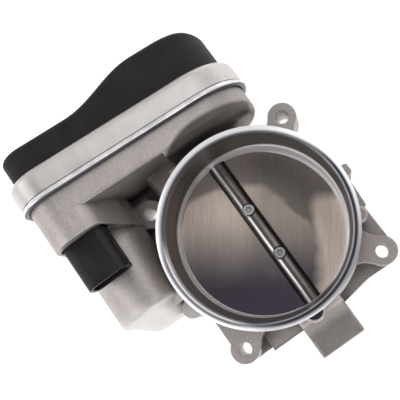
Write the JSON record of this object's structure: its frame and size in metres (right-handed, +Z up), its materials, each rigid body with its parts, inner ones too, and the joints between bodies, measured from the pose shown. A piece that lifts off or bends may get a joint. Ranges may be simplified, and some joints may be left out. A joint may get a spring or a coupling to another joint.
{
  "type": "electronic throttle body",
  "caption": "Large-bore electronic throttle body: cast body with bolting ears, butterfly plate on a shaft, geared motor drive under a black banded cover, side electrical connector.",
  "frame": {"origin": "centre of the throttle bore on the face that bolts to the intake manifold", "axes": "+Z up the bore towards the inlet collar, +X along the throttle shaft towards the plugged bearing boss, the gear case on -X, the motor on -Y"},
  "size_m": [0.1702, 0.136, 0.0895],
  "materials": {
    "cast_aluminium": "die-cast, fine grain, satin",
    "band_aluminium": "satin, lightly peened",
    "plate_metal": "fine brushed",
    "shaft_steel": "turned",
    "bearing_steel": "ground",
    "spring_steel": "wire, oiled",
    "motor_steel": "zinc plated sheet and laminations",
    "magnet_ceramic": "sintered, dark",
    "copper": "drawn copper alloy",
    "brass": "machined",
    "bush_bronze": "sintered bronze",
    "carbon": "pressed carbon",
    "gear_plastic": "moulded, natural",
    "cover_plastic": "moulded, fine matt grain",
    "black_plastic": "moulded, satin",
    "seal_rubber": "moulded",
    "board": "glass-epoxy board, solder mask"
  },
  "bodies": {
    "housing": {"throttle_housing": "cast_aluminium", "gear_side_bearing": "bearing_steel", "far_side_bearing": "bearing_steel", "shaft_seal": "seal_rubber", "boss_plug": "bearing_steel", "return_spring": "spring_steel", "idler_pin": "bearing_steel", "motor_can": "motor_steel", "motor_bushes": "bush_bronze", "motor_plate": "motor_steel", "motor_screws": "bearing_steel", "motor_magnets": "magnet_ceramic", "brush_holder": "black_plastic", "brushes": "carbon", "gear_cover": "cover_plastic", "closing_band": "band_aluminium", "cover_gasket": "seal_rubber", "connector_body": "black_plastic", "connector_terminals": "copper", "connector_seal": "seal_rubber", "stop_pins": "bearing_steel", "sensor_board": "board", "sensor_chip": "black_plastic"},
    "throttle": {"throttle_shaft": "shaft_steel", "throttle_plate": "plate_metal", "plate_screws": "bearing_steel", "sector_gear": "gear_plastic", "spacer_sleeve": "bearing_steel", "sensor_rotor": "gear_plastic", "shaft_nut": "bearing_steel"},
    "idler": {"idler_gear": "gear_plastic"},
    "motor_rotor": {"armature": "motor_steel", "commutator": "copper", "motor_shaft": "bearing_steel", "motor_pinion": "brass"}
  },
  "joints": [
    {"name": "throttle_turn", "type": "hinge", "parent": "housing", "child": "throttle", "pos_m": [0, 0, 0.0205], "axis": [-1, 0, 0], "range_deg": [-6, 79], "stiffness_Nm_per_rad": 0.2},
    {"name": "idler_turn", "type": "hinge", "parent": "housing", "child": "idler", "pos_m": [-0.07, -0.03176, 0.02443], "axis": [-1, 0, 0], "range_deg": [-285, 24]},
    {"name": "motor_turn", "type": "hinge", "parent": "housing", "child": "motor_rotor", "pos_m": [-0.03, -0.06431, 0.02845], "axis": [-1, 0, 0], "range_deg": [-80, 1006]}
  ],
  "couplings": [
    {"joint": "idler_turn", "follows": "throttle_turn", "ratio": -3.5714},
    {"joint": "motor_turn", "follows": "throttle_turn", "ratio": 12.698}
  ]
}
